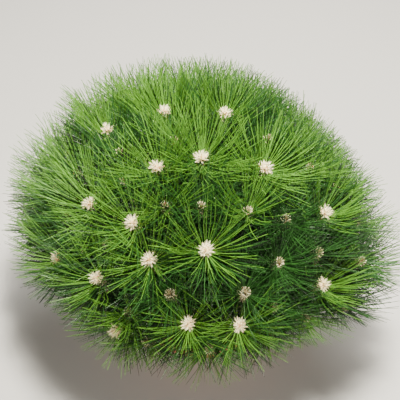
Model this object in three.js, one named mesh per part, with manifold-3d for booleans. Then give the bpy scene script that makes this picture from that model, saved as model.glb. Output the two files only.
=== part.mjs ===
// A low, mounded dwarf Japanese red pine in a plain clay pot.
// Millimetres, +Z up. The origin is on the floor, at the centre of the pot's foot.
// A bearing is an angle in plan, anticlockwise from +X, and a rise is an angle above the level.
import * as THREE from "three";
import { mergeVertices } from "three/addons/utils/BufferGeometryUtils.js";
import Module from "manifold-3d";

const wasm = await Module();
wasm.setup();

const UP = new THREE.Vector3(0, 0, 1);
const LATHE_AXIS = new THREE.Vector3(0, 1, 0);
const CLEAR = 0.3; // between solids that touch on the real plant

// Plain clay pot
const POT = {
  height: 180,
  rimRadius: 145,
  bandHeight: 36, // the thick band under the rim
  bandProud: 6, // beyond the body below it
  bandDraft: 2,
  footRadius: 106,
  edge: 4, // the worn bevel along the foot and the rim
  corner: 3, // the bevel between floor and wall inside
  wall: 9,
  floor: 12,
  drainRadius: 13,
  mixGap: 1, // between the potting mix and the wall
  sides: 32,
};
const MIX_TOP = POT.height - 15; // the potting mix lies this far below the rim

// Crown, a dome of needle tips on a level that lies just over the rim
const CROWN = { base: MIX_TOP + 20, halfWidth: 300, halfDepth: 285, height: 262, droop: 64 };
const LOWER_BULGE = 115; // how fast the needle tips draw in below that level
const NEEDLE_LENGTH = 88;
const BUD_INSET = 60; // from the needle tips in to the buds
const HEART = new THREE.Vector3(0, 0, CROWN.base + 25); // where the boughs' directions meet

// Trunk
const TRUNK = {
  baseRadius: 14.5,
  tipRadius: 5.6,
  flare: 9,
  flareHeight: 13,
  flareLobes: 5, // buttresses of the root flare
  lobeDepth: 0.3,
  lean: 7, // how far it bows off the straight line from foot to tip
  upright: 0.3, // share of its height over which it still rises straight
  sides: 12,
  rings: 9,
};

// Boughs, in a rising spiral round the trunk
const MASSES = 24; // the last one grows on the trunk's own tip
const GOLDEN_ANGLE = Math.PI * (3 - Math.sqrt(5));
const LOWEST_RISE = -9;
const BOUGH = {
  firstHeight: 20, // above the mix
  lastHeight: 94,
  reach: 0.46, // share of the way from the heart to the buds
  bendShare: 0.55, // each leaves the trunk almost level, then turns up
  leastBend: 16,
  bendRise: 0.15,
  lowRadius: 6.4,
  highRadius: 4.6,
  tipRadius: 3.8,
  sides: 5,
  rings: 4,
};

// Leading shoots that the photograph shows: bearing, rise and upturn in degrees
const SEEN_SHOOTS = {
  crest: [143, 73, 6],
  crestRight: [42, 80, 2],
  upperLeft: [163, 52, 24],
  centreTop: [232, 64, -12],
  middleTop: [268, 72, -8],
  rightTop: [318, 61, -6],
  left: [211, 39, 4],
  middleLeft: [237, 42, 0],
  centre: [249, 31, 8],
  centreRight: [271, 37, 2],
  lowLeft: [230, 16, 20],
  farLeft: [206, 9, 18],
  front: [265, 7, 28],
  frontRight: [282, 5, 30],
  footLeft: [238, -8, -4],
  right: [316, 9, 22],
  rightUpper: [330, 34, 14],
  farRight: [343, 0, 8],
  footRight: [310, -6, -4],
  innerRight: [300, 28, 12],
  innerFront: [258, 20, 16],
  innerFrontRight: [285, 20, 16],
  lowestFront: [272, -10, 2],
};
const SHOOTS = 91; // leading shoots in all, seen or not
const LATTICE = 600; // trial places on the crown for the ones not seen
const UPTURN_LOW = 26; // degrees that a shoot at the skirt turns up, none at the crest

// One shoot: a slim core whose facets are drawn out into needles, under a knot of buds
const SHOOT = {
  sides: 5,
  foot: -42, // distances along the shoot, from the topmost needles' roots
  needleRings: [-33, -22, -11, 0],
  ringRadii: [4.6, 6.2, 6.6, 5.8],
  widest: 6.6,
  budTip: 17,
  room: 7, // how far its ends stay inside its mass's space
  rootDepth: 5, // of the twig's end in the core
};
const LOWEST_RING = SHOOT.needleRings[0];
const TOPMOST_RING = SHOOT.needleRings.at(-1);
const NEEDLE = {
  nearAngle: 28, // from the shoot's axis, for the topmost needles
  farAngle: 84,
  jitter: 5,
  unevenness: 0.14, // of their lengths
  shortest: 0.42, // share of its length that a shortened needle keeps at least
  rootRadius: 5,
  bare: 0.25, // share of its length near the root where it may brush others of its own shoot
  tries: [[1, 0], [1, 13], [1, -13], [0.78, 0], [0.6, 8], [0.45, 0]], // share of its angle, and turn
  shortening: 0.9, // from one trial length to the next
  evenness: 1.25, // a turned needle is taken only where it comes out this much longer
  clearOfRim: 2,
};
const TWIG = {
  radius: 2.9,
  endRadius: 2.3,
  sides: 3,
  rings: 2,
  firstFork: 0.9, // share of the stem's length
  lastFork: 0.3,
  bow: 0.45,
  overRim: 12, // least height of its bend over the pot's rim
};
const STEM = { length: 20, radius: 3.8, endRadius: 3.4, sides: 5 };
const SPACE_MARGIN = 0.5; // from a mass's needles to the planes that part the masses

// The same draws each time, from 0 to 1
function seededDraws(seed) {
  let state = seed >>> 0;
  return () => {
    state = (state + 0x6d2b79f5) >>> 0;
    let t = Math.imul(state ^ (state >>> 15), 1 | state);
    t = (t + Math.imul(t ^ (t >>> 7), 61 | t)) ^ t;
    return ((t ^ (t >>> 14)) >>> 0) / 4294967296;
  };
}

const degrees = (angle) => THREE.MathUtils.degToRad(angle);

function direction(bearing, rise) {
  const level = Math.cos(rise);
  return new THREE.Vector3(level * Math.cos(bearing), level * Math.sin(bearing), Math.sin(rise));
}

// Solids

function solidFrom(geometry) {
  const bare = new THREE.BufferGeometry();
  bare.setAttribute("position", geometry.getAttribute("position"));
  bare.setIndex(geometry.index);
  const merged = mergeVertices(bare, 1e-4);
  const index = merged.index.array;
  const kept = [];
  for (let i = 0; i < index.length; i += 3) {
    const [a, b, c] = [index[i], index[i + 1], index[i + 2]];
    if (a !== b && b !== c && c !== a) kept.push(a, b, c);
  }
  return new wasm.Manifold(
    new wasm.Mesh({
      numProp: 3,
      vertProperties: new Float32Array(merged.attributes.position.array),
      triVerts: new Uint32Array(kept),
    }),
  );
}

function geometryFrom(solid) {
  const mesh = solid.getMesh();
  const geometry = new THREE.BufferGeometry();
  geometry.setAttribute("position", new THREE.BufferAttribute(mesh.vertProperties, mesh.numProp));
  geometry.setIndex(new THREE.BufferAttribute(mesh.triVerts, 1));
  geometry.computeVertexNormals();
  return geometry;
}

// A cylinder bent along a curve, with a radius at each share of its length and bearing round it
function limb(curve, radiusAt, sides, rings) {
  const geometry = new THREE.CylinderGeometry(1, 1, 1, sides, rings);
  const frames = curve.computeFrenetFrames(rings, false);
  const places = curve.getSpacedPoints(rings);
  const at = geometry.getAttribute("position");
  for (let i = 0; i < at.count; i++) {
    const share = at.getY(i) + 0.5;
    const ring = Math.round(share * rings);
    const tangent = frames.tangents[ring];
    const across = frames.normals[ring];
    const beside = new THREE.Vector3().crossVectors(across, tangent);
    const radius = radiusAt(share, Math.atan2(at.getZ(i), at.getX(i)));
    const point = places[ring].clone();
    point.addScaledVector(across, at.getX(i) * radius);
    point.addScaledVector(beside, at.getZ(i) * radius);
    at.setXYZ(i, point.x, point.y, point.z);
  }
  return geometry;
}

const taper = (from, to) => (share) => from + (to - from) * share;

// Crown layout

// A place on the dome of buds, from a bearing and rise in radians
function onBudDome(bearing, rise) {
  const unit = direction(bearing, rise);
  return new THREE.Vector3(
    unit.x * (CROWN.halfWidth - BUD_INSET),
    unit.y * (CROWN.halfDepth - BUD_INSET),
    CROWN.base + unit.z * (CROWN.height - BUD_INSET),
  );
}

// Directions spread evenly from the lowest rise up to the crest, by the golden angle
function spreadDirection(order, count) {
  const lowest = Math.sin(degrees(LOWEST_RISE));
  const height = lowest + ((order + 0.5) / count) * (1 - lowest);
  return { bearing: order * GOLDEN_ANGLE, rise: Math.asin(height) };
}

function shootAt(bearing, rise, upturn) {
  return { tip: onBudDome(bearing, rise), axis: direction(bearing, rise + upturn) };
}

// The seen shoots, then others where the gap between shoots is widest
function leadingShoots() {
  const shoots = Object.values(SEEN_SHOOTS).map(([bearing, rise, upturn]) =>
    shootAt(degrees(bearing), degrees(rise), degrees(upturn)),
  );
  const trials = [];
  for (let order = 0; order < LATTICE; order++) {
    const { bearing, rise } = spreadDirection(order, LATTICE);
    trials.push(shootAt(bearing, rise, degrees(UPTURN_LOW) * Math.cos(rise) ** 2));
  }
  const gaps = trials.map((trial) => Math.min(...shoots.map((shoot) => shoot.tip.distanceTo(trial.tip))));
  while (shoots.length < SHOOTS) {
    const widest = trials[gaps.indexOf(Math.max(...gaps))];
    shoots.push(widest);
    trials.forEach((trial, i) => {
      gaps[i] = Math.min(gaps[i], widest.tip.distanceTo(trial.tip));
    });
  }
  return shoots;
}

// The point where a ray from the heart meets the dome of buds
function budDistance(unit) {
  const a = CROWN.halfWidth - BUD_INSET;
  const b = CROWN.halfDepth - BUD_INSET;
  const h = CROWN.height - BUD_INSET;
  const lift = HEART.z - CROWN.base;
  const square = (unit.x / a) ** 2 + (unit.y / b) ** 2 + (unit.z / h) ** 2;
  const half = (lift * unit.z) / h ** 2;
  const rest = (lift / h) ** 2 - 1;
  return (-half + Math.sqrt(half ** 2 - square * rest)) / square;
}

// Each mass has the part of the crown that lies nearest its own direction from the heart
function massSpaces() {
  const ways = [];
  for (let order = 0; order < MASSES; order++) {
    const { bearing, rise } = spreadDirection(order, MASSES);
    ways.push(onBudDome(bearing, rise).sub(HEART).normalize());
  }
  return ways.map((way, own) => ({
    way,
    walls: ways
      .filter((_, other) => other !== own)
      .map((other) => other.clone().sub(way).normalize()),
  }));
}

// How deep a point lies inside a mass's space, negative outside it
function depthInside(space, point) {
  const from = point.clone().sub(HEART);
  return Math.min(...space.walls.map((wall) => -from.dot(wall)));
}

function insideCrown(point) {
  const height = point.z - CROWN.base;
  if (height < -CROWN.droop) return false;
  const reach = height > 0 ? CROWN.height : LOWER_BULGE;
  const spread = (point.x / CROWN.halfWidth) ** 2 + (point.y / CROWN.halfDepth) ** 2;
  return spread + (height / reach) ** 2 <= 1;
}

function clearOfPot(point, margin) {
  const radius = Math.hypot(point.x, point.y);
  if (radius > POT.rimRadius + margin || point.z > POT.height + margin) return true;
  return point.z > MIX_TOP + margin && radius < POT.rimRadius - POT.wall - POT.bandProud - margin;
}

const alongShoot = ({ tip, axis }, distance) => tip.clone().addScaledVector(axis, distance);

// Draws a shoot towards the middle of its mass until its core stands inside the mass's own space
function settle(shoot, space, centre) {
  const [steps, stepLength] = [40, 2.5];
  for (let step = 0; step < steps; step++) {
    const ends = [alongShoot(shoot, SHOOT.budTip), alongShoot(shoot, SHOOT.foot)];
    if (ends.every((end) => depthInside(space, end) > SHOOT.room)) return;
    shoot.tip.addScaledVector(centre.clone().sub(shoot.tip).normalize(), stepLength);
  }
}

// Distance between two segments, and where along each it is found
function segmentGap(a, b) {
  const u = a.end.clone().sub(a.start);
  const v = b.end.clone().sub(b.start);
  const w = a.start.clone().sub(b.start);
  const [uu, uv, vv, uw, vw] = [u.dot(u), u.dot(v), v.dot(v), u.dot(w), v.dot(w)];
  const spread = uu * vv - uv * uv;
  let s = spread > 1e-9 ? THREE.MathUtils.clamp((uv * vw - vv * uw) / spread, 0, 1) : 0;
  let t = (uv * s + vw) / vv;
  if (t < 0 || t > 1) {
    t = THREE.MathUtils.clamp(t, 0, 1);
    s = THREE.MathUtils.clamp((uv * t - uw) / uu, 0, 1);
  }
  const near = a.start.clone().addScaledVector(u, s);
  return { gap: near.distanceTo(b.start.clone().addScaledVector(v, t)), s, t };
}

const clearOf = (a, b, margin) => {
  const { gap, s, t } = segmentGap(a, b);
  const radiusA = a.startRadius + (a.endRadius - a.startRadius) * s;
  const radiusB = b.startRadius + (b.endRadius - b.startRadius) * t;
  return gap > radiusA + radiusB + margin;
};

function segmentsAlong(curve, startRadius, endRadius, count) {
  const points = curve.getSpacedPoints(count);
  const radiusAt = taper(startRadius, endRadius);
  return points.slice(1).map((end, i) => ({
    start: points[i],
    end,
    startRadius: radiusAt(i / count),
    endRadius: radiusAt((i + 1) / count),
  }));
}

// Pot and potting mix

function lathe(profile, sides) {
  const geometry = new THREE.LatheGeometry(
    profile.map(([radius, height]) => new THREE.Vector2(radius, height)),
    sides,
  );
  return geometry.rotateX(Math.PI / 2);
}

function innerRadius(height) {
  const share = (height - POT.floor) / (POT.height - POT.floor);
  const foot = POT.footRadius - POT.wall + POT.corner;
  return foot + (POT.rimRadius - POT.bandProud - POT.wall - foot) * share;
}

function clayPot() {
  const bandFoot = POT.height - POT.bandHeight;
  const bodyRadius = POT.rimRadius - POT.bandProud;
  const profile = [
    [POT.drainRadius, 0],
    [POT.footRadius - POT.edge, 0],
    [POT.footRadius, POT.edge],
    [bodyRadius - 2 * POT.bandDraft, bandFoot],
    [POT.rimRadius - POT.bandDraft, bandFoot + POT.bandDraft],
    [POT.rimRadius, POT.height - POT.edge],
    [POT.rimRadius - POT.edge, POT.height],
    [innerRadius(POT.height) + POT.corner, POT.height],
    [innerRadius(POT.height - POT.edge), POT.height - POT.edge],
    [innerRadius(POT.floor + POT.corner), POT.floor + POT.corner],
    [innerRadius(POT.floor) - POT.corner, POT.floor],
    [POT.drainRadius, POT.floor],
    [POT.drainRadius, 0],
  ];
  return lathe(profile, POT.sides);
}

function pottingMix() {
  const foot = POT.floor + CLEAR;
  const corner = foot + POT.corner;
  const profile = [
    [0, foot],
    [innerRadius(POT.floor) - POT.corner - POT.mixGap, foot],
    [innerRadius(corner) - POT.mixGap, corner],
    [innerRadius(MIX_TOP) - POT.mixGap, MIX_TOP],
    [0, MIX_TOP],
  ];
  return lathe(profile, POT.sides);
}

// Trunk and boughs

const spaces = massSpaces();
const crestWay = spaces[MASSES - 1].way;
const trunkTip = HEART.clone().addScaledVector(crestWay, BOUGH.reach * budDistance(crestWay));
const trunkFoot = new THREE.Vector3(0, 0, MIX_TOP + CLEAR);
const trunkHeight = trunkTip.z - trunkFoot.z;

const TRUNK_BOW = new THREE.Vector3(-TRUNK.lean, -0.5 * TRUNK.lean, 0);

// It leaves the mix upright, then bows to one side on its way to the tip
const trunkLine = new THREE.CubicBezierCurve3(
  trunkFoot,
  trunkFoot.clone().addScaledVector(UP, TRUNK.upright * trunkHeight),
  trunkFoot.clone().lerp(trunkTip, 1 - TRUNK.upright).add(TRUNK_BOW),
  trunkTip,
);

function trunkRadius(share, around) {
  const height = share * trunkHeight;
  const flare = TRUNK.flare * Math.exp(-height / TRUNK.flareHeight);
  const lobe = 1 + TRUNK.lobeDepth * Math.cos(TRUNK.flareLobes * around);
  return TRUNK.baseRadius + (TRUNK.tipRadius - TRUNK.baseRadius) * share + flare * lobe;
}

const trunk = () => limb(trunkLine, trunkRadius, TRUNK.sides, TRUNK.rings);
const trunkRoom = solidFrom(
  limb(trunkLine, (share, around) => trunkRadius(share, around) + CLEAR, TRUNK.sides, TRUNK.rings),
);

function boughPlan(order) {
  const share = order / (MASSES - 2);
  const height = BOUGH.firstHeight + (BOUGH.lastHeight - BOUGH.firstHeight) * share;
  const root = trunkLine.getPoint(height / trunkHeight);
  const { way } = spaces[order];
  const tip = HEART.clone().addScaledVector(way, BOUGH.reach * budDistance(way));
  const level = new THREE.Vector3(way.x, way.y, 0).normalize();
  const run = tip.clone().sub(root).dot(level);
  const bend = root.clone().addScaledVector(level, Math.max(BOUGH.bendShare * run, BOUGH.leastBend));
  bend.z += BOUGH.bendRise * (tip.z - root.z);
  return {
    line: new THREE.QuadraticBezierCurve3(root, bend, tip),
    rootRadius: BOUGH.lowRadius + (BOUGH.highRadius - BOUGH.lowRadius) * share,
  };
}

function bough(plan) {
  const radiusAt = taper(plan.rootRadius, BOUGH.tipRadius);
  const whole = solidFrom(limb(plan.line, radiusAt, BOUGH.sides, BOUGH.rings));
  const pieces = whole.subtract(trunkRoom).decompose();
  return geometryFrom(pieces.reduce((a, b) => (a.volume() > b.volume() ? a : b)));
}

// Foliage

const shootFrame = (shoot) =>
  new THREE.Matrix4()
    .makeRotationFromQuaternion(new THREE.Quaternion().setFromUnitVectors(LATHE_AXIS, shoot.axis))
    .setPosition(shoot.tip);

function shootCore() {
  const rings = SHOOT.needleRings.map((along, ring) => new THREE.Vector2(SHOOT.ringRadii[ring], along));
  const profile = [new THREE.Vector2(0, SHOOT.foot), ...rings, new THREE.Vector2(0, SHOOT.budTip)];
  const lathed = new THREE.LatheGeometry(profile, SHOOT.sides);
  const bare = new THREE.BufferGeometry();
  bare.setAttribute("position", lathed.getAttribute("position"));
  bare.setIndex(lathed.index);
  return mergeVertices(bare, 1e-4);
}

// Pulls the facets between the needle rings out to points, each where its needle ends
function drawOutNeedles(shoot, space, obstacles, draw) {
  const core = shootCore();
  const frame = shootFrame(shoot);
  const local = core.getAttribute("position");
  const points = [];
  for (let i = 0; i < local.count; i++) points.push(new THREE.Vector3().fromBufferAttribute(local, i));
  const placed = points.map((point) => point.clone().applyMatrix4(frame));
  const betweenRings = (along) => along > LOWEST_RING - 0.1 && along < TOPMOST_RING + 0.1;
  const faces = [];
  const needles = [];
  const index = core.index.array;
  for (let i = 0; i < index.length; i += 3) {
    const corners = [index[i], index[i + 1], index[i + 2]];
    if (new Set(corners).size < 3) continue;
    const facet = corners.map((corner) => points[corner]);
    const bears = facet.every((corner) => betweenRings(corner.y));
    const needle = bears ? needleFrom(facet, frame, space, obstacles, needles, draw) : null;
    if (needle === null) {
      faces.push(corners);
      continue;
    }
    const tip = placed.push(needle.end) - 1;
    needles.push(needle);
    corners.forEach((corner, side) => faces.push([corner, corners[(side + 1) % 3], tip]));
  }
  const geometry = new THREE.BufferGeometry().setFromPoints(placed);
  geometry.setIndex(faces.flat());
  return { geometry, needles };
}

// The longest needle that fits from a facet, tried at its full spread and then turned or more upright
function needleFrom(facet, frame, space, obstacles, siblings, draw) {
  const root = facet.reduce((sum, corner) => sum.add(corner), new THREE.Vector3()).divideScalar(3);
  const below = (TOPMOST_RING - root.y) / (TOPMOST_RING - LOWEST_RING);
  const spread = NEEDLE.nearAngle + (NEEDLE.farAngle - NEEDLE.nearAngle) * below ** 0.8;
  const lean = degrees(spread + NEEDLE.jitter * (2 * draw() - 1));
  const around = Math.atan2(root.z, root.x) + degrees(NEEDLE.jitter * (2 * draw() - 1));
  const full = NEEDLE_LENGTH * (1 - NEEDLE.unevenness * draw());
  const start = root.applyMatrix4(frame);
  const trials = NEEDLE.tries.map(([share, turn]) => {
    const turned = around + degrees(turn);
    const way = new THREE.Vector3(
      Math.sin(lean * share) * Math.cos(turned),
      Math.cos(lean * share),
      Math.sin(lean * share) * Math.sin(turned),
    ).transformDirection(frame);
    return fittedNeedle(start, way, full, space, obstacles, siblings);
  });
  const grown = trials.filter((trial) => trial !== null);
  if (grown.length === 0) return null;
  return grown.reduce((best, trial) => (trial.length > NEEDLE.evenness * best.length ? trial : best));
}

const outerPart = (needle) => ({
  start: needle.start.clone().lerp(needle.end, NEEDLE.bare),
  end: needle.end,
  startRadius: needle.startRadius * (1 - NEEDLE.bare),
  endRadius: 0,
});

function fittedNeedle(start, way, full, space, obstacles, siblings) {
  const cutOff = space.walls.map((wall) => {
    const off = start.clone().sub(HEART).dot(wall) + SPACE_MARGIN;
    const closing = way.dot(wall);
    return closing > 1e-6 ? -off / closing : full;
  });
  let length = Math.min(full, ...cutOff);
  while (length > NEEDLE.shortest * full) {
    const end = start.clone().addScaledVector(way, length);
    const needle = { start, end, length, startRadius: NEEDLE.rootRadius, endRadius: 0 };
    const middle = start.clone().lerp(end, 0.5);
    const offPot = [middle, end].every((point) => clearOfPot(point, NEEDLE.clearOfRim));
    const outer = outerPart(needle);
    const offOthers = obstacles.every((other) => clearOf(needle, other, CLEAR));
    const offSiblings = siblings.every((other) => clearOf(outer, outerPart(other), CLEAR));
    if (insideCrown(end) && offPot && offOthers && offSiblings) return needle;
    length *= NEEDLE.shortening;
  }
  return null;
}

// The last stretch of each twig runs along its shoot's own axis
function twigLine({ tip, axis }, stemLine, share) {
  const end = alongShoot({ tip, axis }, SHOOT.foot + SHOOT.rootDepth);
  const start = stemLine.getPoint(TWIG.firstFork + (TWIG.lastFork - TWIG.firstFork) * share);
  const bend = end.clone().addScaledVector(axis, -TWIG.bow * end.distanceTo(stemLine.getPoint(1)));
  bend.z = Math.max(bend.z, POT.height + TWIG.overRim);
  return new THREE.QuadraticBezierCurve3(start, bend, end);
}

function foliage(order, stemLine, shoots, limbs) {
  const draw = seededDraws(101 + order);
  const stem = limb(stemLine, taper(STEM.radius, STEM.endRadius), STEM.sides, 1);
  const twigLines = shoots.map((shoot, i) => twigLine(shoot, stemLine, i / shoots.length));
  const twigRadius = taper(TWIG.radius, TWIG.endRadius);
  const twigs = twigLines.map((line) => limb(line, twigRadius, TWIG.sides, TWIG.rings));
  const room = shoots.map((shoot, i) => [
    ...segmentsAlong(twigLines[i], TWIG.radius, TWIG.endRadius, 3),
    {
      start: alongShoot(shoot, SHOOT.foot),
      end: alongShoot(shoot, SHOOT.budTip),
      startRadius: SHOOT.widest,
      endRadius: SHOOT.widest,
    },
  ]);
  const grown = [];
  const sprays = shoots.map((shoot, own) => {
    const others = room.filter((_, i) => i !== own).flat();
    const spray = drawOutNeedles(shoot, spaces[order], [...limbs, ...others, ...grown], draw);
    grown.push(...spray.needles);
    return spray.geometry;
  });
  return geometryFrom(wasm.Manifold.union([stem, ...twigs, ...sprays].map(solidFrom)));
}

// Assembly

const clay = new THREE.MeshStandardMaterial({ color: 0xb06a47, roughness: 0.85, metalness: 0 });
const mixColour = new THREE.MeshStandardMaterial({ color: 0x4a3327, roughness: 0.95, metalness: 0 });
const bark = new THREE.MeshStandardMaterial({ color: 0x7a5a42, roughness: 0.9, metalness: 0 });
const needleGreen = new THREE.MeshStandardMaterial({ color: 0x5c9434, roughness: 0.55, metalness: 0 });

const plant = new THREE.Group();

function place(name, geometry, material) {
  const mesh = new THREE.Mesh(geometry, material);
  mesh.name = name;
  plant.add(mesh);
}

place("clay_pot", clayPot(), clay);
place("potting_mix", pottingMix(), mixColour);
place("trunk", trunk(), bark);

const plans = [];
for (let order = 0; order < MASSES - 1; order++) plans.push(boughPlan(order));
const numbered = (word, order) => `${word}_${String(order + 1).padStart(2, "0")}`;
plans.forEach((plan, order) => place(numbered("bough", order), bough(plan), bark));

const limbSegments = [
  ...segmentsAlong(trunkLine, TRUNK.baseRadius, TRUNK.tipRadius, 6),
  ...plans.flatMap((plan) => segmentsAlong(plan.line, plan.rootRadius, BOUGH.tipRadius, 5)),
];

const shootsOf = spaces.map(() => []);
leadingShoots().forEach((shoot) => {
  const middle = shoot.tip.clone().addScaledVector(shoot.axis, SHOOT.foot / 2);
  const nearness = spaces.map((space) => middle.clone().sub(HEART).dot(space.way));
  shootsOf[nearness.indexOf(Math.max(...nearness))].push(shoot);
});

spaces.forEach((space, order) => {
  const line = order < plans.length ? plans[order].line : trunkLine;
  const way = line.getTangent(1);
  const start = line.getPoint(1).addScaledVector(way, CLEAR);
  const stemLine = new THREE.LineCurve3(start, start.clone().addScaledVector(way, STEM.length));
  const centre = HEART.clone().addScaledVector(space.way, budDistance(space.way));
  shootsOf[order].forEach((shoot) => settle(shoot, space, centre));
  const mass = foliage(order, stemLine, shootsOf[order], limbSegments);
  place(numbered("foliage", order), mass, needleGreen);
});

export default plant;
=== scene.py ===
"""Looks of a low, mounded dwarf Japanese red pine in a plain clay pot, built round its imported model.

Lengths are millimetres and angles degrees until a mesh is made, and +Z is up.
A bearing is an angle in plan, anticlockwise from +X, and a rise is an angle above the level.
"""
import math

import bpy
import numpy as np
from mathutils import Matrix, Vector, noise


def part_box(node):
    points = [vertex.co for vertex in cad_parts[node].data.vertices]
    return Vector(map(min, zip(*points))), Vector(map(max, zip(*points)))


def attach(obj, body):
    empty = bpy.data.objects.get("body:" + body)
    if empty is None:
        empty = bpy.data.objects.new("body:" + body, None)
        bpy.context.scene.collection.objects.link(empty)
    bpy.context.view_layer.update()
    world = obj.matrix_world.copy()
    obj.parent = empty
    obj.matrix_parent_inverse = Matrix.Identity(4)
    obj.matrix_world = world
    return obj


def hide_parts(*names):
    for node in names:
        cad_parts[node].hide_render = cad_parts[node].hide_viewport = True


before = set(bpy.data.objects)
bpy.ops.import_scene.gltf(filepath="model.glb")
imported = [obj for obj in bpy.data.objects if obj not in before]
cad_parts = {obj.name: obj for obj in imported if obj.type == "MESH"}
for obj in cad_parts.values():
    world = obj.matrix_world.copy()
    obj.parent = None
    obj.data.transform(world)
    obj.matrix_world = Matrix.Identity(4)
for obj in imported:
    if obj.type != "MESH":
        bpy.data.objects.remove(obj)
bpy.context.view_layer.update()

MM = 0.001
UP = np.array([0.0, 0.0, 1.0])
GOLDEN_ANGLE = math.pi * (3 - math.sqrt(5))
draws = np.random.default_rng(2417)

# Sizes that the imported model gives
POT_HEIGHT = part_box("clay_pot")[1].z / MM
RIM_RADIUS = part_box("clay_pot")[1].x / MM
MIX_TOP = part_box("potting_mix")[1].z / MM
MASSES = sum(name.startswith("foliage_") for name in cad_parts)

# Pot, as in the model
WALL = 9.0
FLOOR = 12.0
FOOT_RADIUS = 106.0
BAND_HEIGHT = 36.0
BAND_PROUD = 6.0
BAND_DRAFT = 2.0
POT_EDGE = 4.0
POT_CORNER = 3.0
EDGE_ROUND = 2.2
MIX_GAP = 1.0
DRAIN_RADIUS = 13.0
POT_SIDES = 96
LUMP_HEIGHT = 1.4
LUMP_SIZE = 9

# Crown, as in the model: a dome of needle tips, with the buds on a dome inside it
CROWN_BASE = MIX_TOP + 20
HALF_WIDTH = 300.0
HALF_DEPTH = 285.0
CROWN_HEIGHT = 262.0
DROOP = 64.0
LOWER_BULGE = 115.0
BUD_INSET = 60.0
BUD_DOME = np.array([HALF_WIDTH - BUD_INSET, HALF_DEPTH - BUD_INSET, CROWN_HEIGHT - BUD_INSET])
HEART = np.array([0.0, 0.0, CROWN_BASE + 25])
NEEDLE_LENGTH = 88.0
LOWEST_RISE = -9.0

# Trunk and boughs, as in the model
CLEAR = 0.3
TRUNK = {"base": 14.5, "tip": 5.6, "flare": 9.0, "flare_height": 13.0, "lobes": 5, "lobe_depth": 0.3,
         "lean": 7.0, "upright": 0.3}
BOUGH = {"first": 20.0, "last": 94.0, "reach": 0.46, "bend_share": 0.55, "least_bend": 16.0,
         "bend_rise": 0.15, "low_radius": 6.4, "high_radius": 4.6, "tip_radius": 3.8}
STEM_LENGTH = 20.0

# Shoots, as in the model: bearing, rise and upturn of those that the photograph shows
SEEN_SHOOTS = {
    "crest": (143, 73, 6),
    "crest_right": (42, 80, 2),
    "upper_left": (163, 52, 24),
    "centre_top": (232, 64, -12),
    "middle_top": (268, 72, -8),
    "right_top": (318, 61, -6),
    "left": (211, 39, 4),
    "middle_left": (237, 42, 0),
    "centre": (249, 31, 8),
    "centre_right": (271, 37, 2),
    "low_left": (230, 16, 20),
    "far_left": (206, 9, 18),
    "front": (265, 7, 28),
    "front_right": (282, 5, 30),
    "foot_left": (238, -8, -4),
    "right": (316, 9, 22),
    "right_upper": (330, 34, 14),
    "far_right": (343, 0, 8),
    "foot_right": (310, -6, -4),
    "inner_right": (300, 28, 12),
    "inner_front": (258, 20, 16),
    "inner_front_right": (285, 20, 16),
    "lowest_front": (272, -10, 2),
}
DULL_SHOOTS = ("inner_right", "inner_front", "inner_front_right", "lowest_front", "foot_right")
NARROW_SHOOTS = ("crest", "crest_right", "upper_left", "right", "right_upper", "far_right")
SHOOTS = 91
LATTICE = 600
UPTURN_LOW = 26.0
SHOOT_FOOT = -42.0
BUD_TIP = 17.0
SHOOT_ROOM = 7.0
ROOT_DEPTH = 5.0

# Finer limbs, with radii at the root and the tip
STEM_RADII = (3.8, 3.4)
TWIG_RADII = (2.9, 2.3)
TWIG_STEPS = 14
TWIG_BEND = 0.45
TWIG_OVER_POT = 12
FORKS_TOP = 0.9
FORKS_SPAN = 0.6
SHOOT_RADII = (2.4, 2.1)
SHOOT_BEND = 20
SHOOT_PAST = 3
LIFT = 0.6
BUD_DEPTH = 8.0

# Side shoots: how far back and out from a leading shoot they stand, and where they fork off its twig
SIDE_SHOOTS = 3
SIDE_RADII = (2.0, 1.5)
SIDE_BACK = (44, 60)
SIDE_OUT = (38, 54)
SIDE_SPLAY = 0.55
SIDE_STEM = 34
SIDE_BEND = 16
SIDE_REACH = 0.86
SIDE_POT_ROOM = 14
FORK_FIRST = 0.45
FORK_STEP = 0.12

# Needles, finer than in the model: sizes, stand on a shoot, bow, and how lengths differ
NEEDLE_WIDTH = 1.35
NEEDLE_BOW = 11.0
NEEDLE_BOWS = (0.3, 1.0, 1.7)
BOW_HEIGHT = 0.8
NEEDLE_RINGS = 3
TIP_LOSS = 0.5
TIP_POWER = 5.0
NEEDLE_HEAD = -4.0
NEEDLE_STAND = 2.4
NEEDLE_WANDER = 0.015
PAIR_HALF_GAP = 0.4
PAIR_ANGLES = (1, 5)
BOW_OUT = 0.9
BOW_DOWN = 0.5
BOW_WANDER = 0.35
LONGEST = 1.04
LENGTH_LOSS = 0.3
LENGTH_RISE = 0.08
SHORTEST = 0.38
SHORTENING = np.arange(1, 0.45, -0.05)
AROUND_WANDER = 0.08
TILT_WANDER = 6
BUNDLES = (11, 18)
CLUMPING = 0.8
SHEATH_LENGTH = 8.0
PAIRS = {"leading": 128, "side": 44, "old": 36}
RUNS = {"leading": -26, "side": -22, "old": -60}
SHARES = {"side": 0.9, "old": 0.85}
LIMITS = {"seen": (0.98, 1.05), "unseen": (0.95, 1.01), "side": 0.91, "old": 0.87}
LIMIT_WANDER = 0.02
LEANS = {"narrow": (18, 66), "side": (14, 76), "old": (60, 96)}
LEAN_LEAST = 25
LEAN_MOST = (74, 92)
TIP_CROWDING = 1.05
WEAKER = 0.85
MOST_NEEDLES = 13500
OLD_SHEATHS = {"count": 44, "from": -22.0, "long": -24.0, "lean": (35, 55), "stand": 1.9, "size": (0.7, 1.1)}

# Space that needles leave free: round bud clusters, and over and before those that the photograph shows
BUD_ROOM = 15.0
VIEW_ROOM = 9.0
NEEDLE_HOLD = 28.0
VIEW_HOLD = 8.0
VIEW_STEPS = range(14, 110, 10)
BUD_MIDDLE = 9
POT_ROOM = 3

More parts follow.
